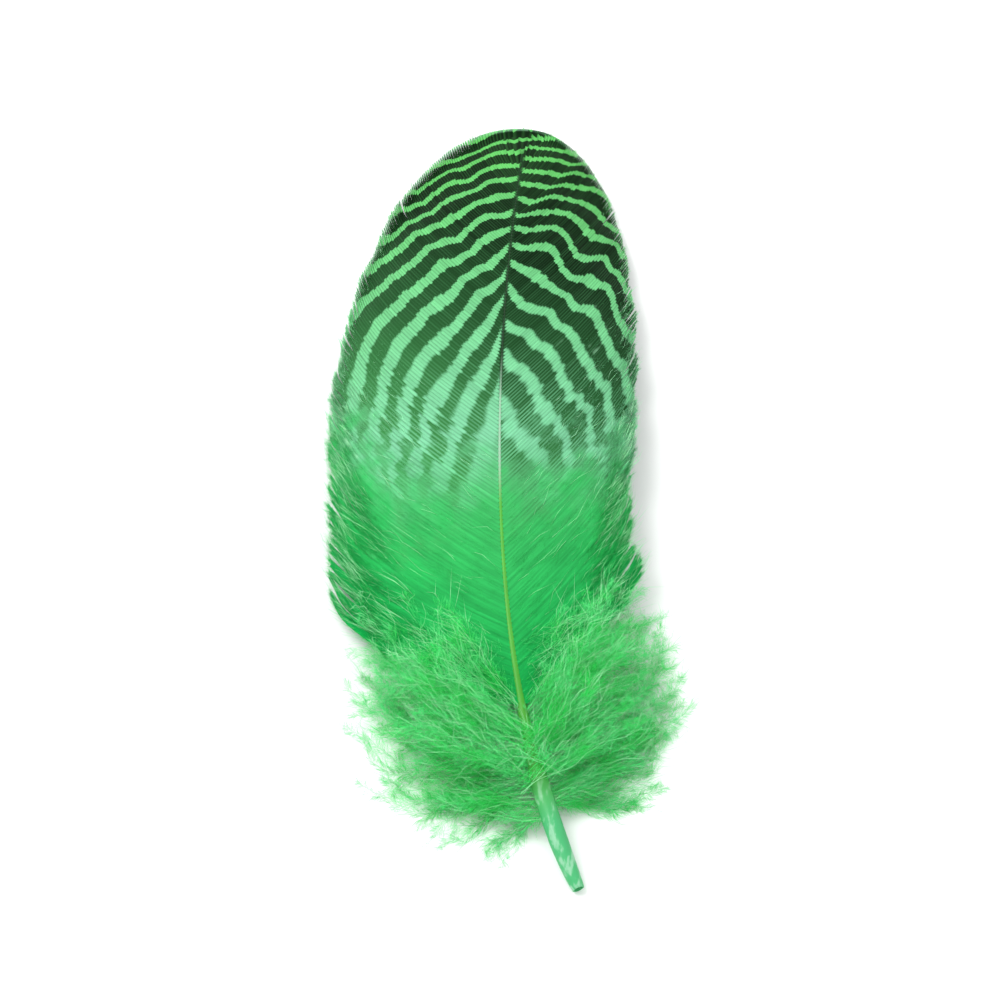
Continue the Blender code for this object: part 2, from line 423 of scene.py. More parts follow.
def shaft_radius(along):
    """Thickest above the bare quill end; it narrows fast in the down, then slowly to a hair."""
    past = np.clip(along - SHAFT_WIDEST, 0.0, RACHIS_END - SHAFT_WIDEST)
    part = past / (RACHIS_END - SHAFT_WIDEST)
    slender = HAIR_RADIUS + (RACHIS_RADIUS - HAIR_RADIUS) * (1.0 - part) ** RACHIS_TAPER
    body = slender + (QUILL_RADIUS - RACHIS_RADIUS) * np.exp(-past / QUILL_FALL)
    blunt = BLUNT_SHARE + (1.0 - BLUNT_SHARE) * np.clip(along / BLUNT_REACH, 0.0, 1.0) ** BLUNT_ROUNDNESS
    return body * blunt


@dataclass
class Barbs:
    """Rows of points along barbs, and what the finish of each point depends on."""

    points: np.ndarray
    upward: np.ndarray
    flat: np.ndarray
    tone: np.ndarray
    part: np.ndarray

    def ahead(self):
        return unit(np.gradient(self.points, axis=1))


def lay_barbs(along, across, lift, root, tone):
    """Barbs through places on the flat feather, raised by lift, and bent with it."""
    points, upward = surface(along, across, lift)
    flat = together(along, across, root) * MILLIMETRES
    part = np.linspace(0.0, 1.0, along.shape[1])
    return Barbs(points, upward, flat, tone, part)


@dataclass
class Shape:
    """Corners, faces and finish of part of a mesh."""

    corners: np.ndarray
    flat: np.ndarray
    barb: np.ndarray
    faces: list


def tube_faces(count, rings, sides, strip, places):
    """Faces round and at the ends of tubes, with their places on the map's strips."""
    tube = (np.arange(count) * rings * sides)[:, None, None]
    low = tube + (np.arange(rings - 1) * sides)[None, :, None]
    side = np.arange(sides)[None, None, :]
    following = (side + 1) % sides
    walls = together(low + side, low + following, low + sides + following, low + sides + side)
    left, right = strip[:-1], strip[1:]
    before, after = places[:-1, None], places[1:, None]
    across = strip_place(np.arange(count)[:, None, None, None], together(left, right, right, left), count)
    wall_map = together(across, together(before, before, after, after))
    first = tube[:, 0] + np.arange(sides)[::-1]
    last = tube[:, 0] + (rings - 1) * sides + np.arange(sides)
    number = np.arange(count)[:, None]
    step = BARBULE_SPREAD * (np.arange(sides) % 2)
    faces = [(walls.reshape(-1, 4), wall_map.reshape(-1, 4, 2))]
    near, far = (first, strip[:-1][::-1], places[0]), (last, strip[:-1], places[-1] - BARBULE_SPREAD)
    for loop, order, start in (near, far):
        faces.append((loop, together(strip_place(number, order, count), start + step)))
    return faces


def strip_place(number, across, count):
    """Where a share of a barb's strip lies across the map."""
    return (number + STRIP_MARGIN + (1.0 - 2.0 * STRIP_MARGIN) * across) / count


def add_piece(name, shapes, material, smooth=True):
    """Join shapes into one mesh object that stands for the feather's solid."""
    corners = np.concatenate([shape.corners for shape in shapes])
    starts = np.cumsum([0] + [len(shape.corners) for shape in shapes])
    faces = [(loop + start, spots) for shape, start in zip(shapes, starts) for loop, spots in shape.faces]
    loops = np.concatenate([loop.ravel() for loop, spots in faces])
    spots = np.concatenate([spots.reshape(-1, 2) for loop, spots in faces])
    sizes = np.concatenate([np.full(len(loop), loop.shape[1]) for loop, spots in faces])
    mesh = bpy.data.meshes.new(name)
    mesh.vertices.add(len(corners))
    mesh.vertices.foreach_set("co", corners.astype(np.float32).ravel())
    mesh.loops.add(len(loops))
    mesh.loops.foreach_set("vertex_index", loops.astype(np.int32))
    mesh.polygons.add(len(sizes))
    mesh.polygons.foreach_set("loop_start", (np.cumsum(sizes) - sizes).astype(np.int32))
    mesh.polygons.foreach_set("use_smooth", np.full(len(sizes), smooth))
    mesh.update(calc_edges=True)
    mesh.uv_layers.new(name="OFBake").uv.foreach_set("vector", spots.astype(np.float32).ravel())
    for label in ("flat", "barb"):
        values = np.concatenate([getattr(shape, label) for shape in shapes])
        layer = mesh.attributes.new(label, "FLOAT_VECTOR", "POINT")
        layer.data.foreach_set("vector", values.astype(np.float32).ravel())
    mesh.materials.append(material)
    dress(put(name, mesh))


def put(name, data):
    """A new object in the scene."""
    made = bpy.data.objects.new(name, data)
    bpy.context.scene.collection.objects.link(made)
    return made


def dress(piece):
    """Put a finished piece on the root body and hide the solid's feather."""
    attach(piece, "root")
    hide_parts("feather")


def make_webs(barbs, half, ridge, shingle):
    """The barbs of a vane as ribbons with a raised ridge, each laid over its neighbour."""
    across = np.cross(barbs.upward, barbs.ahead())
    web, height = SECTION[:, 0], SECTION[:, 1]
    sideways = web * half[..., None]
    rise = height * ridge[..., None] + shingle * web * np.minimum(half / half.max(), 1.0)[..., None]
    corners = (barbs.points[:, :, None] + across[:, :, None] * sideways[..., None]
               + barbs.upward[:, :, None] * rise[..., None])
    run = unit(np.gradient(barbs.flat[..., :2], axis=1))
    behind = np.abs(sideways) * BARBULE_LEAN * MILLIMETRES
    return shape_rings(barbs, corners, run[:, :, None] * behind[..., None], web, SECTION_MAP)


def make_stems(barbs, radius, wisp):
    """Downy barbs as thin three-sided tubes; those that are wisps are marked as hairs."""
    onward = barbs.ahead()
    across = unit(np.cross(barbs.upward, onward))
    above = np.cross(onward, across)
    turn = np.radians((90.0, 210.0, 330.0))
    corners = (barbs.points[:, :, None]
               + across[:, :, None] * (np.cos(turn) * radius[..., None])[..., None]
               + above[:, :, None] * (np.sin(turn) * radius[..., None])[..., None])
    return shape_rings(barbs, corners, 0.0, HAIR_MARK * wisp[:, None, None], np.linspace(0.0, STEM_SHARE, 4))


def shape_rings(barbs, corners, behind, fine, strip):
    """A shape from rings of corners round barbs, whose finish is that of places behind them."""
    count, rings, sides = corners.shape[:3]
    corners[..., 2] = np.maximum(corners[..., 2], 0.0)
    flat = np.repeat(barbs.flat[:, :, None], sides, axis=2)
    flat[..., :2] -= behind
    barb = together(barbs.tone[:, None, None], barbs.part[:, None], fine + np.zeros(sides))
    faces = tube_faces(count, rings, sides, strip, barbs.part)
    return Shape(corners.reshape(-1, 3), flat.reshape(-1, 3), barb.reshape(-1, 3), faces)


def sow(random, barbs, weight, density):
    """The barb and the place on it, in steps, of barbules sown in proportion to weight."""
    numbers, places = [], []
    lengths = np.linalg.norm(np.diff(barbs.points, axis=1), axis=2)
    for number, (row, steps) in enumerate(zip(weight, lengths)):
        total = np.concatenate(([0.0], np.cumsum((row[1:] + row[:-1]) / 2.0 * steps)))
        count = int(round(total[-1] * MILLIMETRES * density))
        places.append(np.interp(random.uniform(0.0, total[-1], count), total, np.arange(len(row))))
        numbers.append(np.full(count, number))
    return np.concatenate(numbers), np.concatenate(places)


@dataclass
class Habit:
    """How barbules stand on a barb: angles in radians, wild and sway in parts of their length.

    Each barbule is wild by itself, and those of a tuft sway together. Lengths and radii are ranges.
    """

    lean: float
    curl: float
    roll: float
    wild: float
    sway: float
    lengths: tuple
    radii: tuple


FLUFF_HABIT = Habit(
    lean=0.36, curl=0.14, roll=0.5, wild=0.11, sway=0.14, lengths=(0.5, 1.3), radii=(0.8, 1.2))
DOWN_HABIT = Habit(
    lean=0.80, curl=0.45, roll=0.75, wild=0.12, sway=0.36, lengths=(0.6, 1.25), radii=(0.75, 1.25))


def make_barbules(random, barbs, numbers, places, length, radius, habit, hairs):
    """Barbules on both sides of barbs, as thin spindles with six faces that bend at their thickest.

    A share of them are hairs: longer, thicker and marked so that their finish can differ.
    """
    count = len(barbs.points)
    total = len(numbers)
    length = length * random.uniform(*habit.lengths, total)
    radius = radius * random.uniform(*habit.radii, total)
    hair = random.random(total) < hairs
    length = length * np.where(hair, HAIR_LENGTH, 1.0)
    radius = radius * np.where(hair, HAIR_STOUTNESS, 1.0)
    step = np.minimum(places.astype(int), barbs.points.shape[1] - 2)
    rest = (places - step)[:, None]

    def at(rows):
        return rows[numbers, step] * (1.0 - rest) + rows[numbers, step + 1] * rest

    onward = unit(at(barbs.ahead()))
    upward = at(barbs.upward)
    sideways = unit(np.cross(upward, onward))
    upward = np.cross(onward, sideways)
    root = at(barbs.points)
    roll = random.normal(0.0, habit.roll, total) + np.pi * (random.random(total) < 0.5)
    radial = sideways * np.cos(roll)[:, None] + upward * np.sin(roll)[:, None]
    calm = (1.0 - HAIR_CALM * hair)[:, None]
    lean = (habit.lean + random.normal(0.0, LEAN_SCATTER, total))[:, None] * calm
    curl = (habit.curl + random.normal(0.0, CURL_SCATTER, total))[:, None] * calm
    tuft = places / (barbs.points.shape[1] - 1) * TUFTS
    knot = np.minimum(tuft.astype(int), TUFTS - 1)
    share = (tuft - knot)[:, None]
    knots = random.normal(0.0, habit.sway, (2, count, TUFTS + 1, 3))
    sway = knots[:, numbers, knot] * (1.0 - share) + knots[:, numbers, knot + 1] * share
    wild = sway + random.normal(0.0, habit.wild, (2, total, 3)) * calm
    first = unit(onward * np.cos(lean) + radial * np.sin(lean) + wild[0])
    second = unit(onward * np.cos(curl) + radial * np.sin(curl) + TIP_WILDNESS * wild[1])
    middle = root + first * (BARBULE_BEND * length)[:, None]
    tip = middle + second * ((1.0 - BARBULE_BEND) * length)[:, None]
    axis = unit(tip - root)
    broad = unit(np.cross(axis, radial + TWIST_WILDNESS * wild[0]))
    thick = np.cross(axis, broad)
    bend = [middle + (broad * math.cos(turn) + thick * math.sin(turn)) * radius[:, None] for turn in THIRDS]
    corners = np.stack((root, *bend, tip), axis=1)
    corners[..., 2] = settle(corners[..., 2], BARBULE_FLOOR, BARBULE_FLOOR_EASE)
    flat = np.repeat(at(barbs.flat)[:, None], 5, axis=1)
    part = np.interp(places, np.arange(len(barbs.part)), barbs.part)
    along = np.array((0.0, BEND_MARK, BEND_MARK, BEND_MARK, 1.0))
    fine = along + HAIR_MARK * hair[:, None]
    barb = together(barbs.tone[numbers][:, None], part[:, None], fine)
    start = np.where(hair, HAIR_SHARE, STEM_SHARE)[:, None]
    span = start + np.where(hair, 1.0 - HAIR_SHARE, HAIR_SHARE - STEM_SHARE)[:, None] * along
    onto = np.clip(part[:, None] + BARBULE_SPREAD * np.array((0.0, -1.0, 0.0, 1.0, 0.0)), 0.0, 1.0)
    spots = together(strip_place(numbers[:, None], span, count), onto)[:, SPINDLE].swapaxes(0, 1)
    loops = SPINDLE[:, None] + 5 * np.arange(total)[:, None]
    faces = [(loops.reshape(-1, 3), spots.reshape(-1, 3, 2))]
    return Shape(corners.reshape(-1, 3), flat.reshape(-1, 3), barb.reshape(-1, 3), faces)


def barb_roots(sizes):
    """Where the barbs of a vane leave the shaft: closer together towards the tip."""
    roots = [VANE_START]
    while roots[-1] < RACHIS_END:
        part = (roots[-1] - VANE_START) / (RACHIS_END - VANE_START)
        roots.append(roots[-1] + sizes.low_gap + (sizes.top_gap - sizes.low_gap) * part)
    return np.array(roots)


def vane_barbs(side, sizes):
    """The barbs of one vane, their roots, how loose each point is, and the gap to the next barb."""
    random = np.random.default_rng([sizes.seed, int(side > 0.0)])
    roots = barb_roots(sizes)
    count = len(roots)
    number = np.arange(count)
    share = (roots - VANE_START) / (RACHIS_END - VANE_START)
    notch = NOTCH * (1.0 - share ** 2) + LOOSE_NOTCH * np.maximum(1.0 - share / LOOSE_PART, 0.0)
    cut = notch * (NOTCH_MIDDLE + scatter(random, count, *CUT_SCATTER))
    root = roots[:, None]
    part = np.linspace(0.0, 1.0, VANE_STEPS + 1)[None, :]
    along, across = barb_place(root, side, part, cut[:, None])
    run = unit(np.gradient(together(along, across), axis=1))
    beside = np.gradient(together(along, across), axis=0)
    gap = np.abs(beside[..., 0] * run[..., 1] - beside[..., 1] * run[..., 0])
    opens = (course(roots, LOOSE_FROM)
             + (OPENING_VARIES - OPENING_STEADIES * share) * scatter(random, count, *OPENING_SCATTER))
    loose = ease(opens[:, None], (opens + course(roots, LOOSE_SPAN))[:, None], part)
    calm = 1.0 - WAVES_CALM * ease(0.2, 0.6, share)[:, None]
    swing = np.zeros_like(along)
    rise = np.zeros_like(along)
    for turns, size in BARB_WAVES:
        for offset in (swing, rise):
            phase = scatter(random, count, *PHASE_SCATTER)[:, None]
            offset += size * calm * loose * np.sin(2.0 * math.pi * turns * part + phase)
    swing += BARB_BOW * random.uniform(-1.0, 1.0, (count, 1)) * np.sin(math.pi * part)
    for split in VANE_SPLITS:
        away = number - (split * count + SPLIT_REACH * random.uniform(-1.0, 1.0))
        pull = np.sign(away) * np.exp(-np.abs(away) / SPLIT_REACH)
        swing += SPLIT_GAP * pull[:, None] * ease(SPLIT_START, 1.0, part)
    along = along + swing * np.abs(run[..., 1])
    across = across - side * swing * run[..., 0]
    seat = (1.0 - ease(0.0, SEAT_PART, part)) * shaft_radius(along)
    across += side * BARB_SEAT * seat
    rise += SEAT_LIFT * seat
    rise += VANE_RIPPLE * np.sin(along * RIPPLE_ALONG + across * RIPPLE_ACROSS * side) * part
    tone = 0.5 + scatter(random, count, *TONE_SCATTER)
    return lay_barbs(along, across, rise, root, tone), roots, loose, gap


def lock_plan():
    """Root, side, length, start and end angles and lift of every lock, by piece, close to the solid's."""
    layers = (
        ("down", 16, LOCK_START, LOCK_END, 1.0, 86.0, 56.0, -0.0008),
        ("upper_down", 6, LOCK_START + 0.002, LOCK_END - 0.006, 0.8, 68.0, 40.0, 0.0040),
        ("lower_down", 5, LOCK_START, LOCK_END - 0.008, 0.72, 98.0, 116.0, -0.0030),
    )
    plan = {}
    for layer, (name, count, first, last, size, start, end, lift) in enumerate(layers):
        for label, side in SIDES:
            key = f"{label}_{name}" if name == "down" else name
            for number in range(count):
                part = number / (count - 1)
                salt = layer * 2.0 + side
                root = first + (last - first) * part + 0.0005 * spread(number, salt)
                length = LOCK_LENGTH * size * (0.84 + 0.16 * math.sin(math.pi * part))
                length *= 1.0 + 0.1 * spread(number, salt + 0.3)
                opening = math.radians(start - 14.0 * part + 7.0 * spread(number, salt + 0.6))
                closing = math.radians(end - 20.0 * part + 12.0 * spread(number, salt + 0.9))
                plan.setdefault(key, []).append((root, side, length, opening, closing, lift))
    return plan


def spread(number, salt):
    """An even, repeatable scatter between -1 and 1."""
    return 2.0 * math.modf(number * GOLDEN_SHARE + salt * PLASTIC_SHARE)[0] - 1.0


def downy_barbs(locks, sizes, crossing, random):
    """The barbs of some locks, and which of them are bare wisps.

    They stray from the line of their lock, the wisps most, and a share of them crosses over the shaft.
    """
    wisp = np.tile(np.arange(sizes.barbs + sizes.wisps) >= sizes.barbs, len(locks))
    locks = np.repeat(np.array(locks), sizes.barbs + sizes.wisps, axis=0)
    count = len(locks)
    root, side, length, start, end, lift = locks.T

    def vary(value, reach):
        return value + reach * random.uniform(-1.0, 1.0, count)

    root = vary(root, ROOT_SCATTER)
    length = length * random.uniform(*BARB_LENGTHS, count) * (1.0 - WISP_SHORTER * wisp)
    length = np.minimum(length, LONGEST_BARB)
    start = vary(start, START_SCATTER)
    end = vary(end, END_SCATTER)
    lift = vary(lift, LIFT_SCATTER)
    stray = 1.0 + WISP_STRAY * wisp[:, None]
    part = (np.arange(DOWN_STEPS) + 0.5)[None, :] / DOWN_STEPS
    place = np.linspace(0.0, 1.0, DOWN_STEPS + 1)[None, :]
    turn = start[:, None] + (end - start)[:, None] * part
    swell = np.zeros((count, DOWN_STEPS + 1))
    for turns, size in DOWN_WAVES:
        phase = random.uniform(0.0, 2.0 * math.pi, (2, count, 1))
        turn = turn + stray * size * part * np.sin(2.0 * math.pi * turns * part + phase[0])
        swell += DOWN_SWELL * size * place * np.sin(2.0 * math.pi * turns * place + phase[1])
    step = (length / DOWN_STEPS)[:, None]
    at_root = np.zeros((count, 1))
    along = root[:, None] + np.hstack((at_root, np.cumsum(np.cos(turn) * step, axis=1)))
    across = np.hstack((at_root, np.cumsum(np.sin(turn) * step, axis=1)))
    rise = lift[:, None] * np.sin(place * math.pi / 2.0) + swell
    crosses = ((random.random(count) < crossing) & (root < CROSSING_END))[:, None]
    across = across - CROSSING_START * crosses
    rise += CROSSING_RISE * crosses * np.exp(-(across / CROSSING_START) ** 2)
    tone = random.uniform(0.0, 1.0, count)
    return lay_barbs(along, side[:, None] * across, rise, root[:, None], tone), wisp


def sums(operation, turned=False):
    """A method that adds the Math node of a sum."""
    def join(self, other):
        return self.paint.sum(operation, other, self) if turned else self.paint.sum(operation, self, other)
    return join


class Wire:
    """A socket that gives a number or a colour, for sums written in Python."""

    def __init__(self, paint, socket):
        self.paint = paint
        self.socket = socket

    __add__ = __radd__ = sums("ADD")
    __mul__ = __rmul__ = sums("MULTIPLY")
    __sub__ = sums("SUBTRACT")
    __rsub__ = sums("SUBTRACT", turned=True)


class Paint:
    """The node tree of one finish."""

    def __init__(self, name):
        self.material = bpy.data.materials.new(name)
        self.material.use_nodes = True
        self.tree = self.material.node_tree
        self.tree.nodes.clear()

    def node(self, kind, settings, inputs, output=0):
        """Add a node, set it up, then give its sockets values or wires; returns one output."""
        made = self.tree.nodes.new(kind)
        for name, value in settings.items():
            if name == "stops":
                stops = made.color_ramp.elements
                for number, (place, colour) in enumerate(value):
                    stop = stops[number] if number < len(stops) else stops.new(place)
                    stop.position = place
                    stop.color = (*colour, 1.0)
            else:
                setattr(made, name, value)
        for name, value in inputs.items():
            if isinstance(value, Wire):
                self.tree.links.new(value.socket, made.inputs[name])
            else:
                made.inputs[name].default_value = value
        return Wire(self, made.outputs[output])

    def sum(self, operation, *terms):
        return self.node("ShaderNodeMath", {"operation": operation}, dict(enumerate(terms)))

    def split(self, label):
        """The three numbers of a vector attribute."""
        vector = self.node("ShaderNodeAttribute", {"attribute_name": label}, {}, "Vector")
        first = self.node("ShaderNodeSeparateXYZ", {}, {"Vector": vector})
        return [Wire(self, socket) for socket in first.socket.node.outputs]

    def step(self, value, low, high):
        """0 below low, 1 above high, with a smooth rise between."""
        settings = {"interpolation_type": "SMOOTHSTEP"}
        return self.node("ShaderNodeMapRange", settings, {"Value": value, "From Min": low, "From Max": high})

    def hump(self, value, middle, reach):
        """1 at the middle, falling off smoothly to both sides."""
        away = (value - middle) * (1.0 / reach)
        return self.sum("EXPONENT", 0.0 - away * away)

    def poly(self, value, factors):
        """A polynomial of a number, with its factors from the lowest power up."""
        total = factors[-1]
        for factor in factors[-2::-1]:
            total = value * total + factor
        return total

    def kink(self, value, size, crest, pace):
        """A wave across the feather with a crest at a place."""
        return size * self.sum("COSINE", (value - crest) * pace)

    def drift(self, place, scale):
        """Smooth noise about 0, between -0.5 and 0.5, along a number."""
        settings = {"noise_dimensions": "1D"}
        return self.node("ShaderNodeTexNoise", settings, {"W": place, "Scale": scale, "Detail": 2.0}) - 0.5

    def noise(self, scale, detail=2.0, stretch=(1.0, 1.0, 1.0)):
        """Noise between 0 and 1 on the object's own coordinates, stretched."""
        place = self.node("ShaderNodeTexCoord", {}, {}, "Object")
        place = self.node("ShaderNodeMapping", {}, {"Vector": place, "Scale": stretch})
        return self.node("ShaderNodeTexNoise", {}, {"Vector": place, "Scale": scale, "Detail": detail})

    def ramp(self, place, stops):
        return self.node("ShaderNodeValToRGB", {"stops": stops}, {"Fac": place})

    def mix(self, factor, first, second):
        return self.node("ShaderNodeMix", {"data_type": "RGBA"}, {0: factor, 6: first, 7: second}, 2)

    def scaled(self, colour, factor):
        return self.node("ShaderNodeVectorMath", {"operation": "SCALE"}, {0: colour, "Scale": factor})

    def surface(self, colour, roughness, shine):
        look = {"Base Color": colour, "Roughness": roughness, "Specular IOR Level": shine}
        return self.node("ShaderNodeBsdfPrincipled", {}, look)

    def veil(self, front, glow, through):
        """Let a share of the light through a surface, tinted, and return the material."""
        behind = self.node("ShaderNodeBsdfTranslucent", {}, {"Color": (*glow, 1.0)})
        return self.show(self.node("ShaderNodeMixShader", {}, {0: through, 1: front, 2: behind}))

    def show(self, shader):
        """Use a shader as the finish, and return the material."""
        out = self.tree.nodes.new("ShaderNodeOutputMaterial")
        self.tree.links.new(shader.socket, out.inputs["Surface"])
        return self.material


def blend(first, second, share):
    return tuple(a + (b - a) * share for a, b in zip(first, second))


def bar_wave(paint, along, distance, right, wobble):
    """A wave that is low at the dark bars, on a course of its own for each vane."""
    below = (VANE_TIP - along) * (1.0 / BAR_UNIT)
    peak = paint.sum("MAXIMUM", paint.poly(below, LEFT_PEAK), 0.0)
    peak = peak * paint.sum("EXPONENT", distance * (-1.0 / LEFT_PEAK_REACH))
    kinks = paint.kink(distance, *LEFT_KINK) * (1.0 - paint.step(distance, 6.0, 9.0))
    lean = paint.poly(below, LEFT_LEAN) + LEFT_BEND * distance
    depth = (VANE_TIP - (along + distance * lean - peak + kinks + wobble)) * (1.0 / BAR_UNIT)
    left_phase = paint.poly(depth, LEFT_PHASE)
    kinks = paint.kink(distance, *RIGHT_KINK) * paint.hump(along, 74.0, 9.0)
    lean = paint.poly(below, RIGHT_LEAN) + distance * paint.poly(below, RIGHT_BEND)
    depth = (VANE_TIP - (along + distance * lean + kinks + wobble)) * (1.0 / BAR_UNIT)
    right_phase = paint.poly(depth, RIGHT_PHASE)
    phase = left_phase + (right_phase - left_phase) * right
    return paint.sum("COSINE", phase * (2.0 * math.pi))


def paint_vane(colours, fluffy):
    """Dark bars across both vanes, soft and broken low down, on barbs that each differ a little."""
    paint = Paint("barred fluff" if fluffy else "barred vane")
    along, across, root = paint.split("flat")
    tone, part, fine = paint.split("barb")
    distance = paint.sum("ABSOLUTE", across)
    right = paint.step(across, -0.01, 0.01)
    left = 1.0 - right
    low = 1.0 - paint.step(along, 46.0, 76.0)
    blur = 1.0 - paint.step(along, 44.0, 64.0)
    breaks = paint.noise(330.0, 3.0) - 0.5

    # The bars waver smoothly from barb to barb and jump a little between barbs, most of all low down
    wobble = 2.4 * paint.drift(root + 60.0 * right, 0.11) + (0.5 + 3.2 * blur) * (tone - 0.5)
    wobble = wobble + 5.0 * blur * (paint.noise(520.0) - 0.5)
    wave = bar_wave(paint, along, distance, right, wobble)
    edge = 0.50 - 0.38 * low * (1.0 - 0.7 * right) - 0.14 * left * (1.0 - paint.step(along, 74.0, 88.0))
    softness = 0.14 + 0.50 * low
    light = paint.step(wave - edge, 0.0 - softness, softness)

    # They start further up towards the vane's edge, in patches, and the barbs' ridges catch the light
    rim = 12.0 * left * paint.step(distance, 9.0, 18.0)
    rim = rim + (2.0 + 4.0 * paint.step(distance, 4.0, 13.0)) * right
    there = paint.step(along + 26.0 * breaks + 3.0 * (tone - 0.5) - rim, *BARS_START)
    dark = (1.0 - light) * there
    if fluffy:
        dark = dark * 0.45
    else:
        ridge = 1.0 - paint.step(paint.sum("ABSOLUTE", fine), 0.10, 0.55)
        dark = dark * (1.0 - 0.8 * tone * (0.12 + 0.88 * blur) * ridge)
    # The dark bars darken towards the tip and are paler towards the left vane's edge; their extra darkness
    # on the right vane is painted shade
    dark_bar_dye_and_shade = paint.ramp((along + 3.0 * right - 0.7 * distance * left) * 0.01,
                     ((0.36, blend(colours.plain_high, colours.dark_low, 0.7)), (0.44, colours.dark_low),
                      (0.60, blend(colours.dark_low, colours.dark_tip, 0.70)), (0.76, colours.dark_tip)))
    pale = paint.ramp(along * 0.01,
                      ((0.39, colours.plain_high), (0.50, colours.light_low), (0.90, colours.light_tip)))
    # The plain vane runs from the foot's colour up to the higher one; its darkening towards the vane's outer
    # edge is painted shade
    plain = paint.ramp((along - 0.8 * distance) * 0.01,
                       ((0.18, colours.plain_low), (0.42, colours.plain_high)))
    colour = paint.mix(dark, paint.mix(there, plain, pale), dark_bar_dye_and_shade)

    # Single barbs are faded low down, the vane's rim is pale, and its middle is dark where the shaft is
    faded = paint.step(tone, 0.80, 0.94) * paint.step(part, 0.3, 0.6) * paint.step(breaks, 0.0, 0.12)
    faded = 0.65 * faded * (1.0 - paint.step(along, 58.0, 72.0))
    margin = (0.36 - 0.24 * right) * paint.step(part, 0.955, 0.995) * paint.step(along, 48.0, 62.0)
    line = (1.0 - paint.step(distance, 0.12, 0.24)) * paint.step(along, 52.0, 60.0)
    colour = paint.mix(0.85 * line, colour, (*colours.rachis_dark, 1.0))
    colour = paint.mix(faded + margin, colour, (*colours.faded, 1.0))

    # Streaks along the barbs, a tone for each barb, and patches where the vane is plain
    strand = root * 2.2 + (0.0 if fluffy else 0.9) * fine
    streaks = paint.node("ShaderNodeCombineXYZ", {}, {"X": strand, "Y": part * 4.0, "Z": 9.0 * right})
    streaks = paint.node("ShaderNodeTexNoise", {}, {"Vector": streaks, "Scale": 1.0, "Detail": 1.0}) - 0.5
    # The fluff is painted brighter than the webs of the same barbs, a painted lightening against the shade
    # among its barbules
    shade = (1.36 if fluffy else 1.08) + (0.44 + 0.5 * (1.0 - there)) * streaks
    shade = shade + (0.08 + 0.20 * light * there) * (tone - 0.5)
    shade = shade + 0.36 * (1.0 - there) * (paint.noise(420.0) - 0.5)
    if fluffy:
        hair = paint.step(fine, *HAIR_EDGE)
        colour = paint.mix(0.5 * hair, colour, (*colours.hair, 1.0))
        glow, through = colours.down_pale, 0.2 - 0.15 * dark
    else:
        # Painted shade: each web darkens towards its edges, between neighbouring barbs, most of all in the
        # light bars
        shade = shade + 0.05 * there - (0.10 + 0.50 * light * there) * fine * fine
        glow, through = colours.plain_low, 0.26 - 0.24 * dark
    return paint.veil(paint.surface(paint.scaled(colour, shade), BARB_ROUGHNESS, 0.05), glow, through)


def paint_down(colours):
    """Mottled green fluff with paler hairs, and paler towards the ends of its barbules."""
    paint = Paint("dyed down")
    tone, _, fine = paint.split("barb")
    patch = paint.step(paint.noise(330.0) + 0.22 * (tone - 0.5), 0.36, 0.62)
    colour = paint.mix(patch, (*colours.down_deep, 1.0), (*colours.down_pale, 1.0))
    hair = paint.step(fine, *HAIR_EDGE)
    along = fine - HAIR_MARK * hair
    # Stems keep the full colour while barbules dip darker past their roots: partly the down's pale fibres
    # and partly a painted lightening against the stems' shade
    colour = paint.scaled(colour, 1.02 - 0.12 * paint.step(along, 0.0, 0.1) + 0.12 * along)
    colour = paint.mix(0.72 * hair, colour, (*colours.hair, 1.0))
    return paint.veil(paint.surface(colour, BARB_ROUGHNESS, 0.08), colours.down_pale, 0.2)


def paint_shaft(colours):
    """Horn, streaked at the quill end and dark among the bars; where the bars begin it is pale, partly its
    own pale horn and partly a painted highlight.
    """
    paint = Paint("dyed horn")
    along = paint.split("flat")[0]
    stops = ((0.07, colours.quill), (0.14, colours.rachis), (0.42, colours.rachis),
             # The pale stop is partly the horn's own colour and partly a painted highlight
             (0.47, colours.rachis_pale_and_highlight), (0.54, colours.rachis_pale_and_highlight), (0.60, colours.rachis_dark))
    colour = paint.ramp(along * 0.01, stops)
    streak = paint.noise(1500.0, 3.0, (1.0, 0.25, 1.0))
    whitish = paint.step(streak, 0.52, 0.68) * (1.0 - paint.step(along, 8.0, 14.0))
    colour = paint.mix(0.55 * whitish, colour, (*colours.quill_streak, 1.0))
    colour = paint.scaled(colour, 0.84 + 0.32 * streak)
    return paint.veil(paint.surface(colour, 0.36, 0.25), colours.quill, 0.12)


def paint_floor(colour):
    paint = Paint("pale paper")
    return paint.show(paint.surface((*colour, 1.0), 0.7, 0.5))


def shaft_frame(along):
    """The place, turn and size of the shaft's cross-section."""
    point, side, up = (Vector(part) for part in spine(np.float64(along)))
    ahead = up.cross(side) * -1.0
    radius = float(shaft_radius(along))
    turn = Matrix((side * radius, up * radius, ahead * radius)).transposed()
    return Matrix.Translation(point) @ turn.to_4x4()


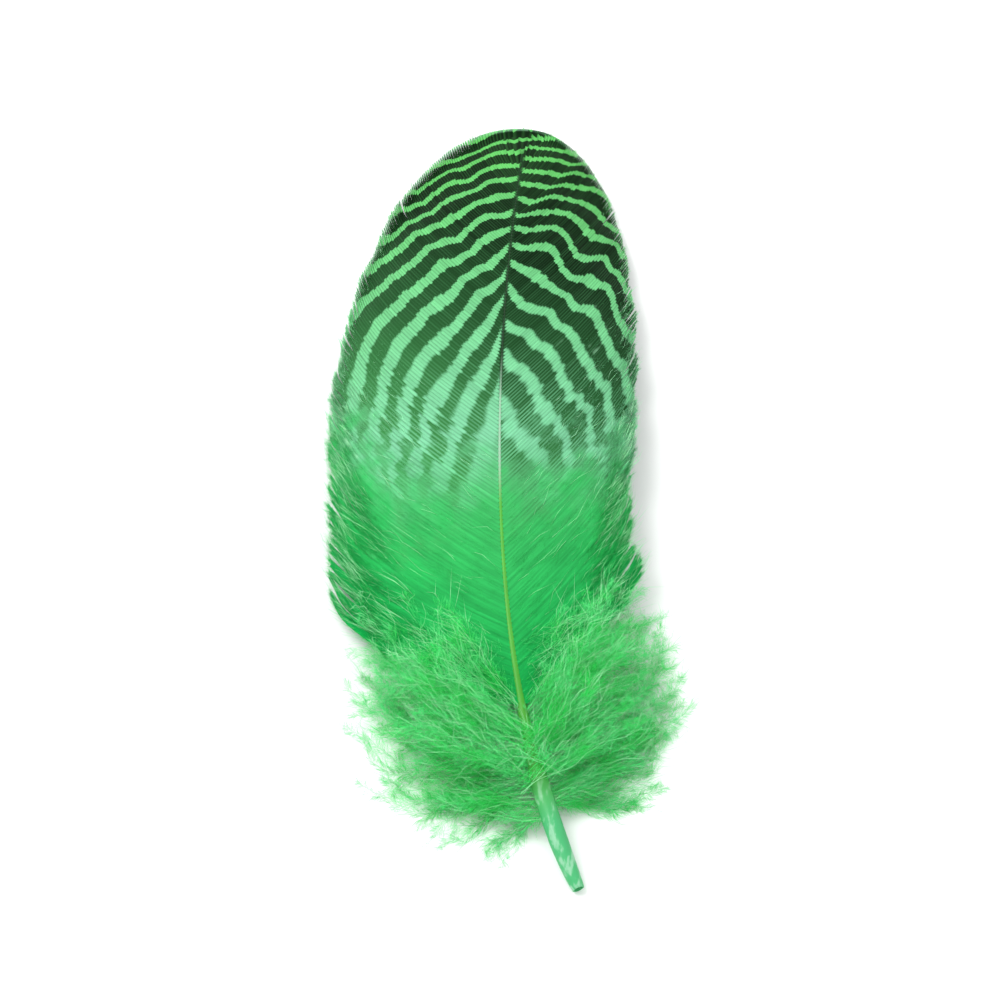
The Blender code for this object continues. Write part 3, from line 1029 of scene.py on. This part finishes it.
class FEATHER_OT_shaft(bpy.types.Operator):
    """Make the quill end and the rachis"""

    bl_idname = "feather.shaft"
    bl_label = "Shaft"

    def execute(self, context):
        shape = bmesh.new()
        here = shaft_frame(0.0)
        bmesh.ops.create_circle(shape, cap_ends=True, segments=SHAFT_SIDES, radius=1.0, matrix=here)
        opening = list(shape.faces)
        ring = list(shape.edges)
        marks = [0.0] * SHAFT_SIDES
        for station in range(1, SHAFT_STATIONS + 1):
            along = RACHIS_END * (station / SHAFT_STATIONS) ** STATION_SPREAD
            grown = bmesh.ops.extrude_edge_only(shape, edges=ring)["geom"]
            corners = [part for part in grown if isinstance(part, bmesh.types.BMVert)]
            ring = [part for part in grown if isinstance(part, bmesh.types.BMEdge)]
            following = shaft_frame(along)
            bmesh.ops.transform(shape, matrix=following @ here.inverted(), verts=corners)
            here = following
            marks += [along * MILLIMETRES] * SHAFT_SIDES
        bmesh.ops.contextual_create(shape, geom=ring)
        bmesh.ops.recalc_face_normals(shape, faces=shape.faces)
        for width, depth in QUILL_MOUTH:
            bmesh.ops.inset_region(shape, faces=opening, thickness=width, depth=depth)
        marks += [0.0] * (len(shape.verts) - len(marks))
        mesh = bpy.data.meshes.new("shaft")
        shape.to_mesh(mesh)
        shape.free()
        mesh.shade_smooth()
        mesh.set_sharp_from_angle(angle=SHARP_ANGLE)
        layer = mesh.attributes.new("flat", "FLOAT_VECTOR", "POINT")
        for mark, spot in zip(marks, layer.data):
            spot.vector = (mark, 0.0, mark)
        mesh.materials.append(paint_shaft(context.scene.feather_colours))
        dress(put("shaft", mesh))
        return {"FINISHED"}


class FEATHER_OT_vanes(bpy.types.Operator):
    """Make the barbs of both vanes and the fluff where they are loose"""

    bl_idname = "feather.vanes"
    bl_label = "Vanes"

    def execute(self, context):
        sizes = context.scene.feather_vane
        down = context.scene.feather_down
        vane_finish = paint_vane(context.scene.feather_colours, False)
        fluff_finish = paint_vane(context.scene.feather_colours, True)
        for label, side in SIDES:
            barbs, roots, loose, gap = vane_barbs(side, sizes)
            root = roots[:, None]
            ridge = sizes.ridge * (1.0 - RIDGE_TAPER * barbs.part[None, :])
            half = sizes.overlap * gap * (1.0 + course(root, LOOSE_WIDENS) * loose)
            half *= 1.0 - course(root, END_NARROWS) * barbs.part ** NARROWING_POWER
            half = (half + 0.5 * ridge) * course(root, TIP_WIDENS)
            webs = make_webs(barbs, half, ridge, sizes.shingle * side)
            add_piece(f"{label}_vane", [webs], vane_finish, smooth=False)
            random = np.random.default_rng([sizes.seed, 3, int(side > 0.0)])
            weight = np.maximum(loose, course(root, HELD_FLUFF))
            numbers, places = sow(random, barbs, weight, sizes.fluff)
            part = np.interp(places, np.arange(VANE_STEPS + 1), barbs.part)
            length = down.length * course(part, FLUFF_SHORTENS) * course(roots[numbers], FLUFF_HIGH)
            radius = FLUFF_FINENESS * down.radius
            fluff = make_barbules(random, barbs, numbers, places, length, radius, FLUFF_HABIT, FLUFF_HAIRS)
            add_piece(f"{label}_fluff", [fluff], fluff_finish)
        return {"FINISHED"}


class FEATHER_OT_down(bpy.types.Operator):
    """Make the barbs and barbules of the downy foot"""

    bl_idname = "feather.down"
    bl_label = "Down"

    def execute(self, context):
        sizes = context.scene.feather_down
        material = paint_down(context.scene.feather_colours)
        for number, (name, locks) in enumerate(lock_plan().items()):
            random = np.random.default_rng([sizes.seed, number])
            crossing = CROSSING_SHARE if name == "upper_down" else 0.0
            barbs, wisp = downy_barbs(locks, sizes, crossing, random)
            part = barbs.part[None, :]
            thick = np.where(wisp, WISP_RADIUS, STEM_RADIUS)[:, None]
            stems = make_stems(barbs, thick + (STEM_END_RADIUS - thick) * part, wisp)
            weight = course(part, DOWN_DENSITY) * (1.0 - wisp[:, None])
            numbers, places = sow(random, barbs, weight, sizes.barbules)
            swell = np.sin(math.pi * np.minimum(0.1 + 0.85 * places / DOWN_STEPS, 1.0))
            length = sizes.length * (0.5 + 0.5 * swell)
            barbules = make_barbules(
                random, barbs, numbers, places, length, sizes.radius, DOWN_HABIT, sizes.hairs)
            add_piece(name, [stems, barbules], material)
        return {"FINISHED"}


class FEATHER_OT_stage(bpy.types.Operator):
    """Make the floor, the lights and the camera"""

    bl_idname = "feather.stage"
    bl_label = "Stage"

    def execute(self, context):
        stage = context.scene.feather_stage
        shape = bmesh.new()
        bmesh.ops.create_grid(shape, x_segments=1, y_segments=1, size=stage.reach)
        mesh = bpy.data.meshes.new("floor")
        shape.to_mesh(mesh)
        shape.free()
        mesh.materials.append(paint_floor(stage.paper))
        put("floor", mesh)
        for name, place, size in LIGHTS:
            lamp = bpy.data.lights.new(name, "AREA")
            lamp.size = size
            lamp.energy = getattr(stage, name)
            light = put(name, lamp)
            light.location = place
            light.rotation_euler = Vector(place).to_track_quat("Z", "Y").to_euler()
        world = bpy.data.worlds.new("studio")
        world.use_nodes = True
        sky = world.node_tree.nodes["Background"]
        sky.inputs["Color"].default_value = (1.0, 1.0, 1.0, 1.0)
        sky.inputs["Strength"].default_value = stage.sky
        context.scene.world = world
        context.scene.view_settings.view_transform = "Standard"
        lens = bpy.data.cameras.new("camera")
        lens.lens = LENS
        distance = stage.width * lens.lens / lens.sensor_width
        camera = put("camera", lens)
        camera.location = (0.0, -distance * math.cos(stage.elevation), distance * math.sin(stage.elevation))
        camera.rotation_euler = (math.pi / 2.0 - stage.elevation, 0.0, 0.0)
        context.scene.camera = camera
        return {"FINISHED"}


class FEATHER_PT_panel(bpy.types.Panel):
    """Lists the feather's pieces in the 3D view's sidebar"""

    bl_idname = "FEATHER_PT_panel"
    bl_label = "Feather"
    bl_space_type = "VIEW_3D"
    bl_region_type = "UI"
    bl_category = "Feather"

    def draw(self, context):
        for operator in OPERATORS:
            self.layout.operator(operator.bl_idname)
        for group in GROUPS:
            settings = getattr(context.scene, group)
            for name in settings.bl_rna.properties.keys():
                if name not in ("rna_type", "name"):
                    self.layout.prop(settings, name)


GROUPS = {
    "feather_vane": FeatherVane,
    "feather_down": FeatherDown,
    "feather_colours": FeatherColours,
    "feather_stage": FeatherStage,
}
OPERATORS = (FEATHER_OT_shaft, FEATHER_OT_vanes, FEATHER_OT_down, FEATHER_OT_stage)


def register():
    for made in (*GROUPS.values(), *OPERATORS, FEATHER_PT_panel):
        bpy.utils.register_class(made)
    for name, group in GROUPS.items():
        setattr(bpy.types.Scene, name, PointerProperty(type=group))


def unregister():
    for name in GROUPS:
        delattr(bpy.types.Scene, name)
    for made in (FEATHER_PT_panel, *reversed(OPERATORS), *reversed(GROUPS.values())):
        bpy.utils.unregister_class(made)


def main():
    register()
    bpy.ops.feather.shaft()
    bpy.ops.feather.vanes()
    bpy.ops.feather.down()
    bpy.ops.feather.stage()


if __name__ == "__main__":
    main()
